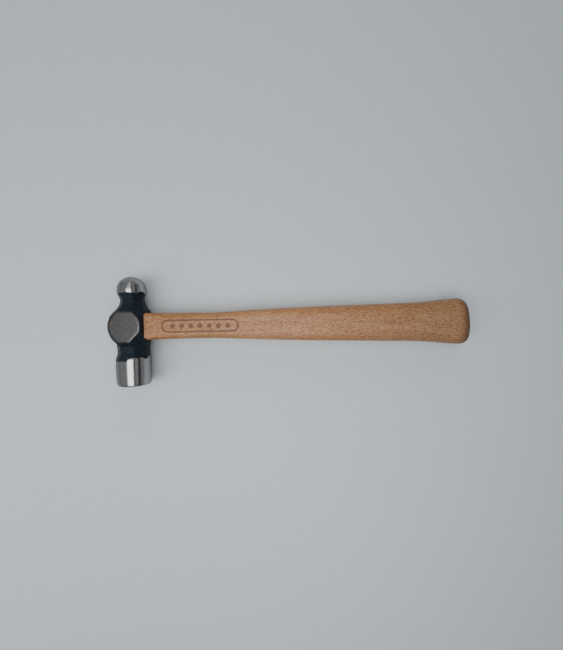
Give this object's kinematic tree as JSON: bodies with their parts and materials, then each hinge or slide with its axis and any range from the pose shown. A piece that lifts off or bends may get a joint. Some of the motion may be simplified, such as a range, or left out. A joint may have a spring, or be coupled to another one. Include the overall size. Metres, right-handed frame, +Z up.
{
  "type": "ball peen hammer",
  "caption": "Ball peen hammer lying on its side: forged steel head with ground cheeks, domed face and ball, wedged onto a flared oval wooden handle.",
  "frame": {"origin": "middle of the lower cheek, the ground round flat of the head that the hammer lies on, straight below the crossing of the head's long axis and the eye's axis", "axes": "+X from the head towards the butt of the handle, +Y along the head towards the ball, +Z up and out of the face that the hammer lies on"},
  "size_m": [0.3278, 0.1008, 0.0318],
  "materials": {
    "head_paint": "blue-black paint over rough forging, bare ground steel on the cheeks, ball and poll",
    "handle_wood": "fine-sanded beech with a thin satin lacquer",
    "wedge_wood": "sawn end grain",
    "wedge_steel": "plain mild steel with hammer marks"
  },
  "bodies": {
    "root": {"head": "head_paint", "handle": "handle_wood", "wood_wedge": "wedge_wood", "steel_wedge_ball_side": "wedge_steel", "steel_wedge_face_side": "wedge_steel"}
  },
  "joints": []
}
